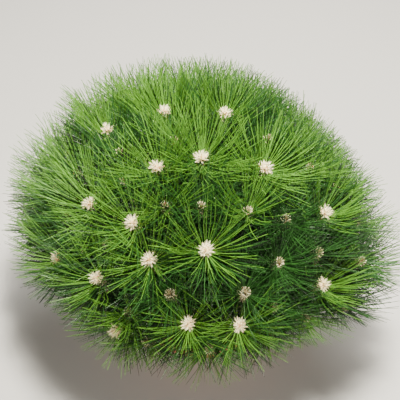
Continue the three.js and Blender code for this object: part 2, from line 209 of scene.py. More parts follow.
# Tones of a shoot's needles from its tip down, and the chances of each. The near-black deep tone is painted
# shade, dealt to needles deep inside the crown and near the feet of shoots
BRIGHT_TONES = ["fresh", "fresh", "mid"]
FULL_TONES = ["fresh", "mid", "deep"]
QUIET_TONES = ["mid", "mid", "deep"]
LOW_MASSES = 9
OLD_LOW_MASSES = 8
# High masses more often get the bright tones and low ones the darker: painted light on the crown's top and
# painted shade low down
LIT_FROM_ABOVE_CHANCE = {"low": 0.1, "high": 0.6}
FULL_CHANCE = 0.55
STRAW_CHANCE = 0.3
OLD_STRAW_CHANCE = 0.25
SIDE_MID_CHANCE = 0.45
MIXING = 0.2

# Bud clusters: numbers and sizes of buds, and how they stand
BUDS = {"bright": 25, "resting": 9}
BUD_SIZES = {"dull": 0.45, "seen": 1.05, "facing": 0.32, "far small": 0.5, "far bright": 1.0}
BUD_RANGE = (0.78, 1.05)
TOP_BUD = 1.15
BUD_TILTS = (36, 68)
INNER_BUDS = 0.37
BUD_RISE = 3
BUD_STAND = 1.2
BUD_LENGTH = 11
SCALES = 16

# How far an unseen shoot faces the photograph's side, before its buds or its vigour are held back
FACING_BUDS = 0.05
FACING_SHOOT = 0.35

# How far the crown reaches at each bearing, as a share of its dome: the plant isn't quite even
REACH = {0: 0.91, 12: 0.85, 22: 0.85, 45: 0.92, 70: 0.96, 95: 1.0, 125: 1.03, 150: 1.15, 180: 1.04, 195: 1.0,
         220: 0.93, 238: 1.0, 252: 1.03, 270: 1.02, 285: 1.01, 303: 0.93, 318: 1.03, 333: 1.17, 345: 1.1}

# Camera, where the photograph was taken from
CAMERA_ELEVATION = math.radians(40.0)
CAMERA_DISTANCE = 1490.0
CAMERA_AIM = np.array([-4.5, -1.8, 242.9])
CAMERA_LENS = 89.0
TOWARDS_CAMERA = np.array([0.0, -math.cos(CAMERA_ELEVATION), math.sin(CAMERA_ELEVATION)])


# Small tools


def linear(hex_colour):
    """Linear RGBA of an sRGB hex colour."""
    parts = [int(hex_colour[i:i + 2], 16) / 255 for i in (1, 3, 5)]
    return tuple(c / 12.92 if c <= 0.04045 else ((c + 0.055) / 1.055) ** 2.4 for c in parts) + (1.0,)


def add(tree, kind, inputs=(), **settings):
    """Adds a node with its settings, and sets or links its inputs by name or number."""
    made = tree.nodes.new(kind)
    for option, value in settings.items():
        setattr(made, option, value)
    for socket, value in dict(inputs).items():
        if isinstance(value, bpy.types.NodeSocket):
            tree.links.new(value, made.inputs[socket])
        else:
            made.inputs[socket].default_value = value
    return made


def unit(vectors):
    return vectors / np.linalg.norm(vectors, axis=-1, keepdims=True)


# Crown layout, by the model's rule


def direction(bearing, rise):
    level = math.cos(rise)
    return np.array([level * math.cos(bearing), level * math.sin(bearing), math.sin(rise)])


def on_bud_dome(bearing, rise):
    return direction(bearing, rise) * BUD_DOME + UP * CROWN_BASE


def spread_direction(order, count):
    lowest = math.sin(math.radians(LOWEST_RISE))
    return order * GOLDEN_ANGLE, math.asin(lowest + (order + 0.5) / count * (1 - lowest))


def shoot_at(bearing, rise, upturn):
    return {"tip": on_bud_dome(bearing, rise), "axis": direction(bearing, rise + upturn)}


def leading_shoots():
    """The seen shoots, then others where the gap between shoots is widest."""
    shoots = []
    for name, angles in SEEN_SHOOTS.items():
        shoots.append({**shoot_at(*map(math.radians, angles)), "name": name})
    trials = []
    for order in range(LATTICE):
        bearing, rise = spread_direction(order, LATTICE)
        trials.append(shoot_at(bearing, rise, math.radians(UPTURN_LOW) * math.cos(rise) ** 2))
    places = np.array([trial["tip"] for trial in trials])
    taken = np.array([shoot["tip"] for shoot in shoots])
    gaps = np.linalg.norm(places[:, None] - taken[None], axis=2).min(axis=1)
    while len(shoots) < SHOOTS:
        widest = int(np.argmax(gaps))
        shoots.append({**trials[widest], "name": "unseen"})
        gaps = np.minimum(gaps, np.linalg.norm(places - places[widest], axis=1))
    return shoots


def bud_distance(way):
    """How far from the heart a ray meets the dome of buds."""
    lift = HEART[2] - CROWN_BASE
    square = float(((way / BUD_DOME) ** 2).sum())
    half = lift * way[2] / BUD_DOME[2] ** 2
    rest = (lift / BUD_DOME[2]) ** 2 - 1
    return (-half + math.sqrt(half ** 2 - square * rest)) / square


def mass_ways():
    ways = [on_bud_dome(*spread_direction(order, MASSES)) - HEART for order in range(MASSES)]
    return unit(np.array(ways))


def settle(shoot, own, ways):
    """Draws a shoot towards the middle of its mass until its core stands inside the mass's space."""
    walls = unit(np.delete(ways, own, axis=0) - ways[own])
    centre = HEART + ways[own] * bud_distance(ways[own])
    steps, step_length = 40, 2.5
    for _ in range(steps):
        ends = shoot["tip"] + np.outer([BUD_TIP, SHOOT_FOOT], shoot["axis"])
        if (-(ends - HEART) @ walls.T).min() > SHOOT_ROOM:
            return
        shoot["tip"] = shoot["tip"] + unit(centre - shoot["tip"]) * step_length


def uneven(points):
    """How far the crown reaches where points lie, as a share of its dome."""
    bearing = np.degrees(np.arctan2(points[:, 1], points[:, 0]))
    outward = np.minimum(np.hypot(points[:, 0], points[:, 1]) / HALF_WIDTH, 1)
    return 1 + outward * (np.interp(bearing, list(REACH), list(REACH.values()), period=360) - 1)


def inside_crown(points, limit):
    """Whether points lie inside the crown's uneven dome of needle tips, drawn in by each point's limit."""
    limit = limit * uneven(points)
    height = points[:, 2] - CROWN_BASE
    reach = np.where(height > 0, CROWN_HEIGHT, LOWER_BULGE)
    spread = (points[:, 0] / HALF_WIDTH) ** 2 + (points[:, 1] / HALF_DEPTH) ** 2 + (height / reach) ** 2
    return (spread <= limit ** 2) & (height >= -DROOP * limit)


def clear_of_pot(points, margin):
    radius = np.hypot(points[:, 0], points[:, 1])
    outside = (radius > RIM_RADIUS + margin) | (points[:, 2] > POT_HEIGHT + margin)
    return outside | ((points[:, 2] > MIX_TOP + margin) & (radius < RIM_RADIUS - WALL - BAND_PROUD - margin))


# Lines of the limbs


def bezier_point(points, t):
    """A point of a Bezier curve of any degree, or several for a column of shares."""
    order = len(points) - 1
    weights = [math.comb(order, i) * t ** i * (1 - t) ** (order - i) for i in range(order + 1)]
    return sum(weight * np.asarray(point) for weight, point in zip(weights, points))


def bezier(points, steps):
    """Points along a Bezier curve, evenly spaced along its length."""
    fine = bezier_point(points, np.linspace(0, 1, 8 * steps + 1)[:, None])
    along = np.concatenate([[0], np.cumsum(np.linalg.norm(np.diff(fine, axis=0), axis=1))])
    even = np.linspace(0, along[-1], steps + 1)
    return np.stack([np.interp(even, along, fine[:, axis]) for axis in range(3)], axis=1)


ways = mass_ways()
trunk_tip = HEART + ways[-1] * BOUGH["reach"] * bud_distance(ways[-1])
trunk_foot = np.array([0.0, 0.0, MIX_TOP + CLEAR])
trunk_height = trunk_tip[2] - trunk_foot[2]
trunk_bow = np.array([-TRUNK["lean"], -0.5 * TRUNK["lean"], 0.0])
trunk_controls = [
    trunk_foot,
    trunk_foot + UP * TRUNK["upright"] * trunk_height,
    trunk_foot + (trunk_tip - trunk_foot) * (1 - TRUNK["upright"]) + trunk_bow,
    trunk_tip,
]


def bough_controls(order):
    share = order / (MASSES - 2)
    height = BOUGH["first"] + (BOUGH["last"] - BOUGH["first"]) * share
    root = bezier_point(trunk_controls, height / trunk_height)
    tip = HEART + ways[order] * BOUGH["reach"] * bud_distance(ways[order])
    level = unit(ways[order] * [1, 1, 0])
    run = float((tip - root) @ level)
    bend = root + level * max(BOUGH["bend_share"] * run, BOUGH["least_bend"])
    bend[2] += BOUGH["bend_rise"] * (tip[2] - root[2])
    return [root, bend, tip]


def twig_controls(shoot, stem, share):
    """From the mass's stem out to the foot of a shoot, along whose axis the twig ends."""
    end = shoot["foot"]
    start = stem[0] + (stem[1] - stem[0]) * (FORKS_TOP - FORKS_SPAN * share)
    bend = end - shoot["axis"] * TWIG_BEND * np.linalg.norm(end - stem[1])
    bend[2] = max(bend[2], POT_HEIGHT + TWIG_OVER_POT)
    return [start, bend, end]


# Meshes


def mesh_from(name, points, faces):
    """A smooth mesh from points in millimetres and an array of triangles or quads."""
    mesh = bpy.data.meshes.new(name)
    mesh.from_pydata((np.asarray(points) * MM).tolist(), [], [list(map(int, face)) for face in faces])
    mesh.polygons.foreach_set("use_smooth", np.ones(len(mesh.polygons), bool))
    return mesh


def piece_from(name, mesh, replaced=(), material=None):
    made = bpy.data.objects.new(name, mesh)
    bpy.context.scene.collection.objects.link(made)
    if material is not None:
        mesh.materials.clear()
        mesh.materials.append(material)
    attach(made, "root")
    if replaced:
        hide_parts(*replaced)
    return made


def bark_height(point, plate):
    """How far bark stands at a point: plates with cracks between them, from about -1 to 0.5."""
    near = noise.voronoi(Vector(point / plate))[0]
    crack = min((near[1] - near[0]) / 0.3, 1)
    return crack - 0.8 + 0.3 * noise.noise(Vector(point / (0.35 * plate)))


def tube(line, radius_at, sides, plate=0.0, depth=0.0):
    """Points and faces of a closed tube along a line, with a radius at each share and bearing round it.

    A depth gives it the relief of bark, whose plates have the given size.
    """
    tangents = unit(np.gradient(line, axis=0))
    across = unit(np.cross(tangents[0], [0.31, 0.95, 0.05]))
    rings = []
    around = np.arange(sides) * 2 * math.pi / sides
    for i, tangent in enumerate(tangents):
        across = unit(across - tangent * (across @ tangent))
        outward = np.outer(np.cos(around), across) + np.outer(np.sin(around), np.cross(tangent, across))
        radius = radius_at(i / (len(line) - 1), around) + np.zeros(sides)
        if depth:
            ring = line[i] + outward * radius[:, None]
            radius += depth * np.array([bark_height(point, plate) for point in ring])
        rings.append(line[i] + outward * radius[:, None])
    points = np.concatenate([*rings, line[:1], line[-1:]])
    side = np.arange(sides)
    after = (side + 1) % sides
    faces = []
    for ring in range(len(line) - 1):
        low, high = ring * sides, (ring + 1) * sides
        faces += np.stack([low + side, low + after, high + after, high + side], axis=1).tolist()
    first, last, top = len(points) - 2, len(points) - 1, (len(line) - 1) * sides
    faces += [[first, after[i], side[i]] for i in range(sides)]
    faces += [[last, top + side[i], top + after[i]] for i in range(sides)]
    return points, faces


def tapered(root, tip):
    """The radius along a round limb that tapers evenly."""
    return lambda share, around: root + (tip - root) * share


def joined(parts):
    """One list of points and faces from several."""
    points, faces, start = [], [], 0
    for part_points, part_faces in parts:
        points.append(part_points)
        faces += [[start + corner for corner in face] for face in part_faces]
        start += len(part_points)
    return np.concatenate(points), faces


def points_mesh(name, places, **values):
    """A mesh of loose points in millimetres that carries values for Geometry Nodes."""
    mesh = bpy.data.meshes.new(name)
    mesh.vertices.add(len(places))
    mesh.vertices.foreach_set("co", (places * MM).ravel())
    for label, held in values.items():
        kind, key = ("FLOAT_VECTOR", "vector") if held.ndim == 2 else ("FLOAT", "value")
        mesh.attributes.new(label, kind, "POINT").data.foreach_set(key, held.astype(np.float32).ravel())
    return mesh


def grown(tree, mesh, **inputs):
    """The plain mesh that a Geometry Nodes tree makes from a mesh."""
    holder = bpy.data.objects.new("holder", mesh)
    bpy.context.scene.collection.objects.link(holder)
    modifier = holder.modifiers.new("grow", "NODES")
    modifier.node_group = tree
    for item in tree.interface.items_tree:
        if item.in_out == "INPUT" and item.name in inputs:
            modifier[item.identifier] = inputs[item.name]
    result = bpy.data.meshes.new_from_object(holder.evaluated_get(bpy.context.evaluated_depsgraph_get()))
    bpy.data.objects.remove(holder)
    return result


def new_tree(name, **inputs):
    """A Geometry Nodes tree with named inputs after its geometry."""
    tree = bpy.data.node_groups.new(name, "GeometryNodeTree")
    tree.interface.new_socket("Geometry", in_out="INPUT", socket_type="NodeSocketGeometry")
    for label, kind in inputs.items():
        tree.interface.new_socket(label, in_out="INPUT", socket_type="NodeSocket" + kind)
    tree.interface.new_socket("Geometry", in_out="OUTPUT", socket_type="NodeSocketGeometry")
    return tree, add(tree, "NodeGroupInput").outputs


def turned_along(tree, along, beside=None):
    """A rotation that points Z along one named value, and X towards another."""
    way = add(tree, "GeometryNodeInputNamedAttribute", {"Name": along}, data_type="FLOAT_VECTOR")
    turn = add(tree, "FunctionNodeAlignRotationToVector", {"Vector": way.outputs[0]}, axis="Z")
    if beside is not None:
        side = add(tree, "GeometryNodeInputNamedAttribute", {"Name": beside}, data_type="FLOAT_VECTOR")
        inputs = {"Rotation": turn.outputs[0], "Vector": side.outputs[0]}
        turn = add(tree, "FunctionNodeAlignRotationToVector", inputs, axis="X", pivot_axis="Z")
    return turn.outputs[0]


def needle_tree():
    """Needles of real size on points, three-sided, in three bows, each scaled by its point's share."""
    tree, given = new_tree("pine needles", Length="Float", Width="Float", Bow="Float", Rings="Int",
                           Material="Material")
    half = add(tree, "ShaderNodeMath", {0: given["Width"], 1: 0.5}, operation="MULTIPLY").outputs[0]
    share = add(tree, "GeometryNodeSplineParameter").outputs["Factor"]
    thinning = add(tree, "ShaderNodeMath", {0: share, 1: TIP_POWER}, operation="POWER").outputs[0]
    loss = add(tree, "ShaderNodeMath", {0: thinning, 1: TIP_LOSS}, operation="MULTIPLY").outputs[0]
    fullness = add(tree, "ShaderNodeMath", {0: 1.0, 1: loss}, operation="SUBTRACT").outputs[0]
    radius = add(tree, "ShaderNodeMath", {0: half, 1: fullness}, operation="MULTIPLY").outputs[0]
    height = {0: given["Length"], 1: BOW_HEIGHT}
    middle_height = add(tree, "ShaderNodeMath", height, operation="MULTIPLY").outputs[0]
    tip = add(tree, "ShaderNodeCombineXYZ", {"Z": given["Length"]}).outputs[0]
    section = add(tree, "GeometryNodeCurvePrimitiveCircle", {"Resolution": 3, "Radius": 1.0}).outputs["Curve"]
    shapes = add(tree, "GeometryNodeJoinGeometry")
    for bow in NEEDLE_BOWS:
        sag = add(tree, "ShaderNodeMath", {0: given["Bow"], 1: bow}, operation="MULTIPLY").outputs[0]
        middle = add(tree, "ShaderNodeCombineXYZ", {"X": sag, "Z": middle_height}).outputs[0]
        ends = {"Resolution": 8, "Start": (0, 0, 0), "Middle": middle, "End": tip}
        curve = add(tree, "GeometryNodeCurveQuadraticBezier", ends).outputs[0]
        line = add(tree, "GeometryNodeResampleCurve", {"Curve": curve, "Count": given["Rings"]}).outputs[0]
        skin = {"Curve": line, "Profile Curve": section, "Scale": radius, "Fill Caps": True}
        body = add(tree, "GeometryNodeCurveToMesh", skin).outputs[0]
        welds = {"Geometry": body, "Distance": 0.02 * MM}
        closed = add(tree, "GeometryNodeMergeByDistance", welds).outputs[0]
        smooth = add(tree, "GeometryNodeSetShadeSmooth", {"Geometry": closed}).outputs[0]
        single = add(tree, "GeometryNodeGeometryToInstance", {"Geometry": smooth}).outputs[0]
        tree.links.new(single, shapes.inputs[0])
    # Inputs 4 and 5 are the first and last bow to draw from, and 8 is the seed
    picks = {4: 0, 5: len(NEEDLE_BOWS) - 1, 8: 11}
    picked = add(tree, "FunctionNodeRandomValue", picks, data_type="INT").outputs[2]
    finish_tree(tree, given, shapes.outputs[0], picked)
    return tree


def scatter_tree():
    """One given shape on points, each turned along its point's way and scaled by its share."""
    tree, given = new_tree("scattered shapes", Shape="Object", Material="Material")
    shape = add(tree, "GeometryNodeObjectInfo", {"Object": given["Shape"]}).outputs["Geometry"]
    finish_tree(tree, given, shape)
    return tree


def finish_tree(tree, given, shapes, picked=None):
    """Instances shapes on the points, makes them real and gives them the tree's material."""
    size = add(tree, "GeometryNodeInputNamedAttribute", {"Name": "share"}, data_type="FLOAT").outputs[0]
    inputs = {"Points": given["Geometry"], "Instance": shapes, "Scale": size,
              "Rotation": turned_along(tree, "along", "bow")}
    if picked is not None:
        inputs.update({"Pick Instance": True, "Instance Index": picked})
    placed = add(tree, "GeometryNodeInstanceOnPoints", inputs).outputs[0]
    real = add(tree, "GeometryNodeRealizeInstances", {"Geometry": placed}).outputs[0]
    coat = {"Geometry": real, "Material": given["Material"]}
    coated = add(tree, "GeometryNodeSetMaterial", coat).outputs[0]
    add(tree, "NodeGroupOutput", {"Geometry": coated})


def scattered(name, shape, places, replaced, material):
    """A piece that repeats a shape, given as points and faces, at places: roots, ways, sides and sizes."""
    holder = bpy.data.objects.new("shape", mesh_from("shape", *shape))
    bpy.context.scene.collection.objects.link(holder)
    roots, along, bows, share = places
    source = points_mesh("places", roots, along=along, bow=bows, share=share)
    mesh = grown(SCATTERING, source, Shape=holder, Material=material)
    bpy.data.objects.remove(holder)
    return piece_from(name, mesh, replaced)


# Materials


def new_material(name, colour, roughness, **sockets):
    """A material on one Principled shader, with its tree, its shader and the place it is seen at."""
    made = bpy.data.materials.new(name)
    made.use_nodes = True
    tree = made.node_tree
    shader = tree.nodes["Principled BSDF"]
    shader.inputs["Base Color"].default_value = linear(colour)
    shader.inputs["Roughness"].default_value = roughness
    for socket, value in sockets.items():
        shader.inputs[socket.replace("_", " ")].default_value = value
    place = add(tree, "ShaderNodeTexCoord").outputs["Object"]
    return made, tree, shader, place


def relief(tree, shader, height, depth):
    """Raises the surface by a height from 0 to 1 times a depth in millimetres."""
    bump = add(tree, "ShaderNodeBump", {"Strength": 1.0, "Distance": depth * MM, "Height": height})
    tree.links.new(bump.outputs["Normal"], shader.inputs["Normal"])


def needle_material(name, colour):
    """Live pine needle: waxy skin over green tissue, which gives long satin glints."""
    made, tree, shader, place = new_material(name, colour, 0.42, Coat_Weight=0.05, Coat_Roughness=0.3)
    ridges = add(tree, "ShaderNodeTexNoise", {"Vector": place, "Scale": 1 / (4 * MM), "Detail": 1.0})
    relief(tree, shader, ridges.outputs[0], 0.04)
    return made


# Needle colours: fresh, mid and straw are the needles' own colours; deep, near black, is painted shade in the
# crown's depths
NEEDLE_TONES = {
    "fresh": needle_material("pine needle skin fresh green", "#548427"),
    "mid": needle_material("pine needle skin green", "#26501b"),
    "deep": needle_material("pine needle skin dark green painted shade", "#0a1c05"),
    "straw": needle_material("dying pine needle skin straw", "#a08040"),
}


def scale_material(name, colour):
    """Dry scales, sheaths and shoot skin: papery and matt, a little translucent where they are thin."""
    made, tree, shader, place = new_material(name, colour, 0.7, Subsurface_Weight=0.1, Subsurface_Scale=0.002)
    fringe = add(tree, "ShaderNodeTexNoise", {"Vector": place, "Scale": 1 / (0.8 * MM), "Detail": 2.0})
    relief(tree, shader, fringe.outputs[0], 0.3)
    return made


BUD_SCALES = scale_material("resinous bud scales cream", "#fffcc8")
BUD_CORES = scale_material("bud cores pink", "#f6cfa6")
RESTING_SCALES = scale_material("resting bud scales green", "#a5a678")
RESTING_CORES = scale_material("resting bud cores tan", "#a08a68")
SHEATHS = scale_material("needle sheaths pale", "#cfc59c")
GREEN_WOOD = scale_material("first year shoot skin", "#7d6c45")
WITHERED = scale_material("old needle sheaths", "#6d4f36")


def bark_material(name, plate, crack):
    """Young pine bark: grey-brown plates, with rust where they have flaked."""
    made, tree, shader, place = new_material(name, plate, 0.9)
    plates = add(tree, "ShaderNodeTexVoronoi", {"Vector": place, "Scale": 1 / (5 * MM)}, feature="F1")
    flakes = add(tree, "ShaderNodeTexNoise", {"Vector": place, "Scale": 1 / (2 * MM), "Detail": 4.0})
    tones = add(tree, "ShaderNodeMix", {
        "Factor": plates.outputs["Distance"], 6: linear(plate), 7: linear(crack),
    }, data_type="RGBA")
    tree.links.new(tones.outputs[2], shader.inputs["Base Color"])
    relief(tree, shader, flakes.outputs[0], 0.5)
    return made


BARK = bark_material("flaking pine bark", "#6e6054", "#5a3a28")
TWIG_BARK = bark_material("rough twig bark", "#74634b", "#54402c")


def clay_material():
    """Fired clay: an open, matt body with turning rings, darker and paler fire marks and lime bloom."""
    made, tree, shader, place = new_material("unglazed terracotta", "#b06a47", 0.88)
    clouds = add(tree, "ShaderNodeTexNoise", {"Vector": place, "Scale": 1 / (60 * MM), "Detail": 5.0})
    body = add(tree, "ShaderNodeMix", {
        "Factor": clouds.outputs[0], 6: linear("#95553a"), 7: linear("#b4724f"),
    }, data_type="RGBA").outputs[2]
    patches = add(tree, "ShaderNodeTexNoise", {"Vector": place, "Scale": 1 / (35 * MM), "Detail": 8.0})
    bloom = add(tree, "ShaderNodeMapRange", {"Value": patches.outputs[0], 1: 0.5, 2: 0.8, 3: 0.0, 4: 0.4})
    coated = add(tree, "ShaderNodeMix", {
        "Factor": bloom.outputs[0], 6: body, 7: linear("#d9c4ae"),
    }, data_type="RGBA").outputs[2]
    tree.links.new(coated, shader.inputs["Base Color"])
    rings = add(tree, "ShaderNodeTexWave", {
        "Vector": place, "Scale": 1 / (14 * MM), "Distortion": 0.6, "Detail": 1.0,
    }, bands_direction="Z")
    grit = add(tree, "ShaderNodeTexNoise", {"Vector": place, "Scale": 1 / (1.2 * MM), "Detail": 3.0})
    parts = {0: rings.outputs["Fac"], 1: grit.outputs[0]}
    relief(tree, shader, add(tree, "ShaderNodeMath", parts, operation="ADD").outputs[0], 0.2)
    return made


def mix_material(name, colour):
    """Parts of potting mix: damp, matt and rough, with fibres or pores."""
    made, tree, shader, place = new_material(name, colour, 0.92)
    fibres = add(tree, "ShaderNodeTexNoise", {"Vector": place, "Scale": 1 / (1.5 * MM), "Detail": 5.0})
    relief(tree, shader, fibres.outputs[0], 0.6)
    return made


# Growth


def beside_of(axis):
    """Two directions square to an axis and to each other."""
    across = unit(np.cross(axis, [0.2, 0.1, 0.97] if abs(axis[2]) < 0.9 else [0.97, 0.1, 0.2]))
    return across, np.cross(axis, across)


def round_axis(axis, around):
    """Directions square to an axis, at each angle round it."""
    across, beside = beside_of(axis)
    return np.outer(np.cos(around), across) + np.outer(np.sin(around), beside)


def spiral(axis, tip, count, foot, lean, stand_off, evenness=1.0):
    """Places in a spiral from a shoot's tip to its foot: roots, ways, outward sides and shares down."""
    down = ((np.arange(count) + draws.random(count)) / count) ** evenness
    around = np.arange(count) * GOLDEN_ANGLE + draws.normal(0, AROUND_WANDER, count)
    bundles = draws.integers(*BUNDLES)
    around += CLUMPING / bundles * np.sin(bundles * around + draws.uniform(0, 2 * math.pi))
    radial = round_axis(axis, around)
    near, far = lean
    tilt = np.radians(near + (far - near) * down ** 0.8 + draws.normal(0, TILT_WANDER, count))
    way = unit(np.outer(np.cos(tilt), axis) + radial * np.sin(tilt)[:, None])
    return tip + np.outer(NEEDLE_HEAD + foot * down, axis) + radial * stand_off, way, radial, down


def needles_of(axis, tip, count, foot, lean, length, evenness=1.0):
    """Needle pairs down one shoot: their roots, ways, bows, lengths and shares down, and their sheaths."""
    root, way, radial, down = spiral(axis, tip, count, foot, lean, NEEDLE_STAND, evenness)
    sheaths = [root, way, radial, np.ones(count)]
    tangent = np.cross(axis, radial)
    halves = []
    for side in (-1, 1):
        apart = np.radians(side * draws.uniform(*PAIR_ANGLES, count))[:, None]
        halves.append([
            root + tangent * side * PAIR_HALF_GAP,
            unit(way + tangent * apart + draws.normal(0, NEEDLE_WANDER, (count, 3))),
            radial * BOW_OUT - UP * BOW_DOWN + draws.normal(0, BOW_WANDER, (count, 3)),
            length * (LONGEST - LENGTH_LOSS * draws.random(count) ** 2) * (1 + LENGTH_RISE * way[:, 2]),
            down,
        ])
    return [np.concatenate(values) for values in zip(*halves)], sheaths


def lifted(axis):
    """The way a shoot's end turns to the light."""
    return unit(axis + UP * LIFT)


def stopped_by_buds(roots, along, lengths):
    """Lengths of needles that end before they reach the space left free for the buds."""
    away = open_places[None] - roots[:, None]
    ahead = (away * along[:, None]).sum(axis=2)
    short_of = open_rooms ** 2 - (away ** 2).sum(axis=2) + ahead ** 2
    meets = (short_of > 0) & (ahead > open_holds)
    entry = np.where(meets, ahead - np.sqrt(np.maximum(short_of, 0)), np.inf)
    return np.minimum(lengths, entry.min(axis=1))


def fitted(roots, along, bows, lengths, down, limit):
    """Shortens each needle until it lies in the crown and clears pot and buds, and drops those that can't."""
    limit = limit + draws.uniform(-LIMIT_WANDER, LIMIT_WANDER, len(roots))
    lengths = stopped_by_buds(roots, along, lengths)
    share = np.zeros(len(roots))
    for trial in SHORTENING:
        ends = roots + along * (lengths * trial)[:, None]
        clear = clear_of_pot(ends, POT_ROOM) & clear_of_pot((roots + ends) / 2, POT_ROOM)
        share[(share == 0) & inside_crown(ends, limit) & clear] = trial
    kept = (share * lengths) > SHORTEST * NEEDLE_LENGTH
    return [roots[kept], along[kept], bows[kept], (lengths * share)[kept] / NEEDLE_LENGTH, down[kept]]


def side_shoots(shoot, line, order):
    """Weaker shoots that fork off a leading shoot's twig, under its needles."""
    made = []
    across, beside = beside_of(shoot["axis"])
    for k in range(SIDE_SHOOTS):
        around = order * GOLDEN_ANGLE + k * 2 * math.pi / SIDE_SHOOTS
        radial = across * math.cos(around) + beside * math.sin(around)
        back = shoot["axis"] * draws.uniform(*SIDE_BACK)
        tip = shoot["tip"] - back + radial * draws.uniform(*SIDE_OUT)
        axis = lifted(unit(shoot["axis"] + radial * SIDE_SPLAY))
        fork = line[int((FORK_FIRST + FORK_STEP * k) * (len(line) - 1))]
        inside = inside_crown(tip[None], np.array([SIDE_REACH]))[0]
        if inside and clear_of_pot(tip[None], SIDE_POT_ROOM)[0]:
            made.append({"tip": tip, "axis": axis, "fork": fork})
    return made


def bud_cluster(shoot, count):
    """Buds that stand in a star on a shoot's tip: roots, ways, sides and sizes."""
    size = shoot["size"]
    order = np.arange(count)
    tilt = np.where(order == 0, 0, np.where(order < INNER_BUDS * count, *BUD_TILTS))
    tilt = np.radians(tilt + draws.normal(0, TILT_WANDER, count))
    radial = round_axis(shoot["end"], order * GOLDEN_ANGLE)
    way = unit(np.outer(np.cos(tilt), shoot["end"]) + radial * np.sin(tilt)[:, None])
    root = shoot["tip"] + shoot["end"] * BUD_RISE * size + way * BUD_STAND * size
    share = size * np.where(order == 0, TOP_BUD, draws.uniform(*BUD_RANGE, count))
    return [root, way, radial + shoot["end"] * 0.01, share]


def bud_radius(share, around=None):
    """The radius of a pointed bud without its scales, at a share of its height."""
    return 0.1 + 1.15 * (1 - share) ** 0.7


def bud_core():
    """A pointed bud without its scales."""
    return tube(np.outer(np.linspace(0, BUD_LENGTH, 6), UP), bud_radius, 6)


def bud_scales():
    """The scales of one bud: slim points that overlap up it in a spiral and stand off at their tips."""
    parts = []
    for k in range(SCALES):
        share = k / (SCALES - 1)
        around = k * GOLDEN_ANGLE
        out = np.array([math.cos(around), math.sin(around), 0.0])
        side = np.array([-math.sin(around), math.cos(around), 0.0])
        foot = out * bud_radius(share) * 0.8 + UP * 9.0 * share
        tip = foot + UP * 4.6 + out * 2.0 * (1 - 0.6 * share)
        wide = 0.5 * (1 - 0.4 * share)
        points = [foot - side * wide, foot + side * wide, foot + out * 0.5 + UP * 0.6, tip]
        parts.append((np.array(points), [[0, 1, 2], [0, 2, 3], [2, 1, 3], [1, 0, 3]]))
    return joined(parts)


def sheath():
    """The pale sheath that holds one pair of needles."""
    return tube(np.outer([-0.6, SHEATH_LENGTH], UP), tapered(1.1, 0.8), 3)


def old_sheath():
    """A withered sheath that stays on the stem under the needles."""
    return tube(np.outer([-0.8, 3.4], UP), tapered(0.9, 0.15), 3)


def between(shoot):
    """Whether a shoot is one of the weaker ones between those whose bright buds the photograph shows."""
    facing = shoot["axis"] @ TOWARDS_CAMERA > FACING_SHOOT
    return bool(shoot["name"] == "unseen" and facing) or shoot["name"] in DULL_SHOOTS


def behind(shoot):
    return shoot["axis"] @ TOWARDS_CAMERA < 0


def bud_size(shoot, order):
    """The size of a shoot's buds: bright, or small where they rest."""
    if shoot["name"] != "unseen":
        return BUD_SIZES["dull" if shoot["name"] in DULL_SHOOTS else "seen"]
    if shoot["axis"] @ TOWARDS_CAMERA > FACING_BUDS:
        return BUD_SIZES["facing"]
    return BUD_SIZES["far small" if order % 2 == 0 else "far bright"]


shoots_of = [[] for _ in range(MASSES)]
for shoot in leading_shoots():
    middle = shoot["tip"] + shoot["axis"] * SHOOT_FOOT / 2
    own = int(np.argmax(ways @ (middle - HEART)))
    shown = shoot["tip"]
    settle(shoot, own, ways)
    shoot["foot"] = shoot["tip"] + shoot["axis"] * (SHOOT_FOOT + ROOT_DEPTH)
    shoot["end"] = lifted(shoot["axis"])
    shoot["tip"] = shown - shoot["end"] * BUD_DEPTH
    if shoot["name"] == "unseen":
        shoot["tip"][:2] *= uneven(shown[None])[0]
    shoot["size"] = bud_size(shoot, len(shoots_of[own]) + own)
    shoots_of[own].append(shoot)

open_places, open_rooms, open_holds = [], [], []
for held in shoots_of:
    for shoot in held:
        middle = shoot["tip"] + shoot["end"] * BUD_MIDDLE
        open_places.append(middle)
        open_rooms.append(BUD_ROOM if shoot["size"] > BUD_SIZES["facing"] else 0.5 * BUD_ROOM)
        open_holds.append(NEEDLE_HOLD)
        if shoot["name"] != "unseen":
            for way in (TOWARDS_CAMERA, UP):
                open_places += [middle + way * step for step in VIEW_STEPS]
                open_rooms += [VIEW_ROOM * shoot["size"]] * len(VIEW_STEPS)
                open_holds += [VIEW_HOLD] * len(VIEW_STEPS)
open_places, open_rooms, open_holds = map(np.array, (open_places, open_rooms, open_holds))
needles = {tone: [] for tone in NEEDLE_TONES}
limbs = {"twigs": [], "shoots": []}
bright_buds, resting_buds, sheaths, old_sheaths = [], [], [], []


def deal(spray, tones, limit):
    """Deals a spray's fitted needles out to tones, from those near the tip to those near the foot; the darker
    tones towards the foot are painted shade.
    """
    held = fitted(*spray, limit)
    down = held.pop()
    bands = np.clip((down + draws.normal(0, MIXING, len(down))) * len(tones), 0, len(tones) - 0.5).astype(int)
    for band, tone in enumerate(tones):
        needles[tone].append([values[bands == band] for values in held])


def tones_of(shoot, own):
    """The tones of a leading shoot's needles: darker when it is low, as painted shade low in the crown, and
    duller between those that show.
    """
    bright = LIT_FROM_ABOVE_CHANCE["low" if own < LOW_MASSES else "high"]
    tones = BRIGHT_TONES if draws.random() < bright else FULL_TONES
    if between(shoot):
        tones = FULL_TONES if draws.random() < FULL_CHANCE else QUIET_TONES
    if own < LOW_MASSES and draws.random() < STRAW_CHANCE and behind(shoot):
        tones = [tones[0]] * 3 + [tones[1]] * 3 + [tones[2]] * 2 + ["straw"]
    return tones


